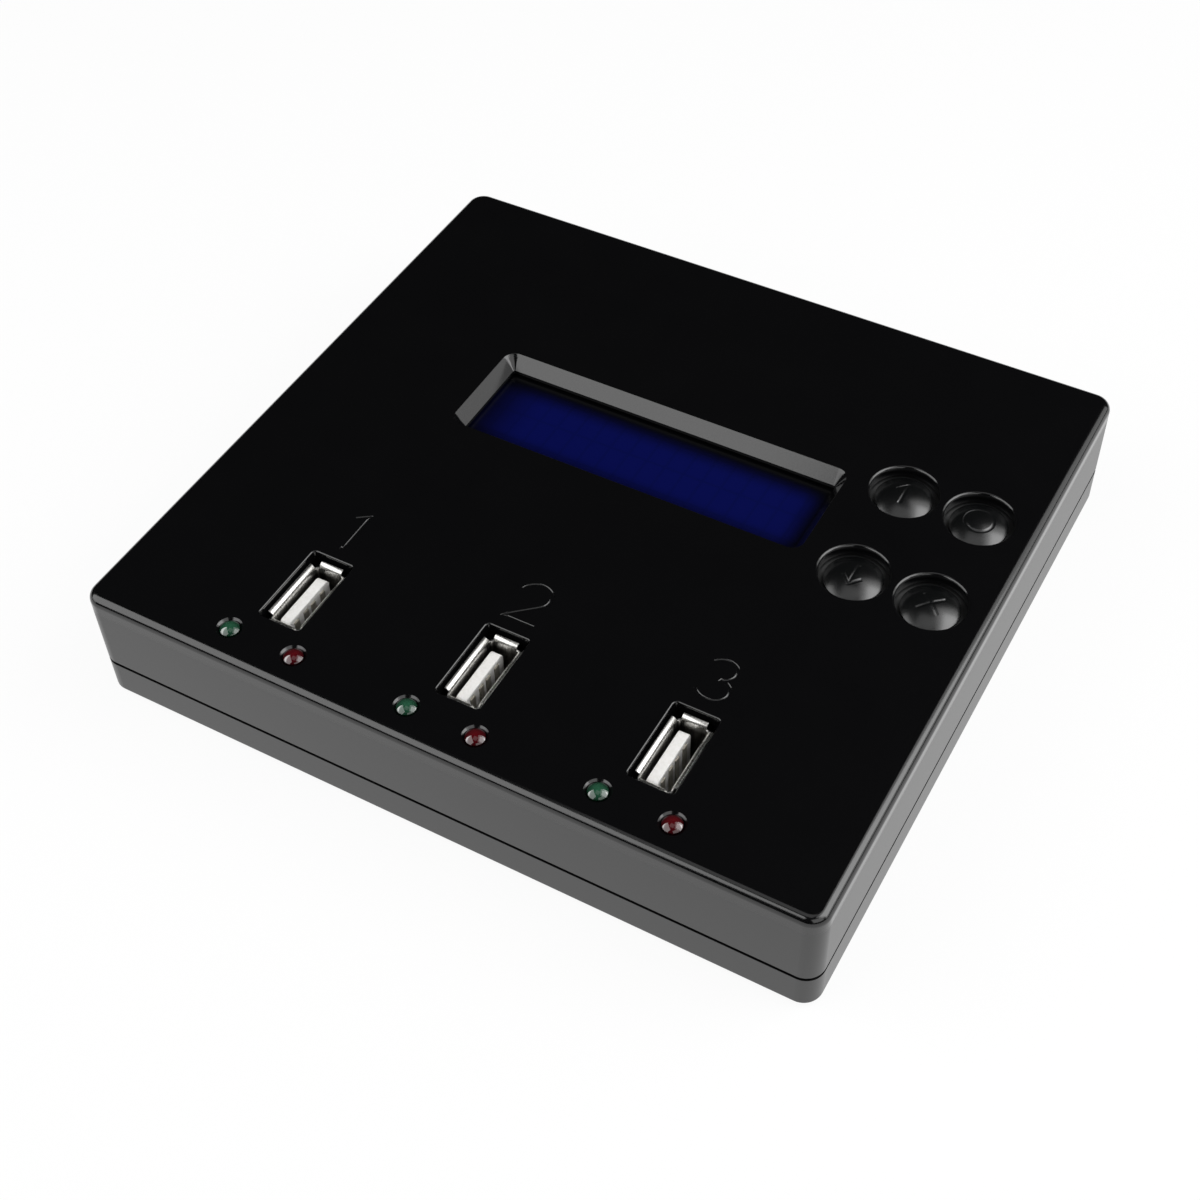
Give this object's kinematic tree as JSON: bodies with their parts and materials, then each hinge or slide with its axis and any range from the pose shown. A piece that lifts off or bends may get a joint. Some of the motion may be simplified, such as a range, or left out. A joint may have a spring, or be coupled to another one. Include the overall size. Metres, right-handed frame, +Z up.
{
  "type": "usb duplicator",
  "caption": "Black desktop USB flash drive duplicator with upright sockets, a blue character display, indicator lights and round keys",
  "frame": {"origin": "centre of the footprint, on the surface that the feet stand on", "axes": "+X to the right along the front edge, +Y to the back, +Z up"},
  "size_m": [0.13, 0.121, 0.0238],
  "materials": {
    "case_abs": "black injection-moulded ABS with a fine satin texture",
    "key_abs": "black polished ABS",
    "foot_rubber": "black rubber",
    "case_screw_steel": "black oxide steel",
    "zinc_screw_steel": "zinc plated steel",
    "green_board": "green solder mask on glass epoxy",
    "blue_board": "blue solder mask on glass epoxy",
    "frame_black_steel": "black painted sheet steel",
    "display_glass": "dark blue display behind clear glass",
    "backlight_acrylic": "white light guide",
    "black_header": "black moulded pin strip",
    "gold_contacts": "gold flashed contact strip",
    "usb_steel": "nickel plated sheet steel",
    "usb_white": "white moulded insulator",
    "green_lens": "green tinted clear epoxy",
    "red_lens": "red tinted clear epoxy",
    "spacer_nylon": "natural nylon",
    "tinned_steel": "tin plated steel",
    "switch_plastic": "black moulded switch body",
    "jack_plastic": "black moulded inlet",
    "chip_epoxy": "black chip package",
    "crystal_can": "drawn metal can",
    "capacitor_can": "aluminium can",
    "ferrite": "grey ferrite core"
  },
  "bodies": {
    "case": {"upper_case": "case_abs", "lower_case": "case_abs", "feet": "foot_rubber", "case_screws": "case_screw_steel", "board_screws": "zinc_screw_steel", "lcd_screws": "zinc_screw_steel", "main_board": "green_board", "lcd_board": "blue_board", "lcd_frame": "frame_black_steel", "lcd_glass": "display_glass", "lcd_backlight": "backlight_acrylic", "lcd_header": "black_header", "lcd_pins": "gold_contacts", "usb_contacts_1": "gold_contacts", "usb_contacts_2": "gold_contacts", "usb_contacts_3": "gold_contacts", "usb_shell_1": "usb_steel", "usb_shell_2": "usb_steel", "usb_shell_3": "usb_steel", "usb_insulator_1": "usb_white", "usb_insulator_2": "usb_white", "usb_insulator_3": "usb_white", "led_green_1": "green_lens", "led_green_2": "green_lens", "led_green_3": "green_lens", "led_red_1": "red_lens", "led_red_2": "red_lens", "led_red_3": "red_lens", "led_spacers": "spacer_nylon", "led_leads": "tinned_steel", "switch_legs": "tinned_steel", "controller_leads": "tinned_steel", "memory_leads": "tinned_steel", "jack_pin": "tinned_steel", "jack_contact": "tinned_steel", "switch_up": "switch_plastic", "switch_circle": "switch_plastic", "switch_down": "switch_plastic", "switch_cross": "switch_plastic", "jack_housing": "jack_plastic", "controller_chip": "chip_epoxy", "memory_chip": "chip_epoxy", "crystal": "crystal_can", "capacitors": "capacitor_can", "inductor": "ferrite"},
    "up_key": {"key_up": "key_abs", "plunger_up": "switch_plastic"},
    "circle_key": {"key_circle": "key_abs", "plunger_circle": "switch_plastic"},
    "down_key": {"key_down": "key_abs", "plunger_down": "switch_plastic"},
    "cross_key": {"key_cross": "key_abs", "plunger_cross": "switch_plastic"}
  },
  "joints": [
    {"name": "up_key_press", "type": "slide", "parent": "case", "child": "up_key", "axis": [0, 0, -1], "range_m": [0, 0.0005], "stiffness_N_per_m": 1600, "springref_m": -0.0005},
    {"name": "circle_key_press", "type": "slide", "parent": "case", "child": "circle_key", "axis": [0, 0, -1], "range_m": [0, 0.0005], "stiffness_N_per_m": 1600, "springref_m": -0.0005},
    {"name": "down_key_press", "type": "slide", "parent": "case", "child": "down_key", "axis": [0, 0, -1], "range_m": [0, 0.0005], "stiffness_N_per_m": 1600, "springref_m": -0.0005},
    {"name": "cross_key_press", "type": "slide", "parent": "case", "child": "cross_key", "axis": [0, 0, -1], "range_m": [0, 0.0005], "stiffness_N_per_m": 1600, "springref_m": -0.0005}
  ]
}
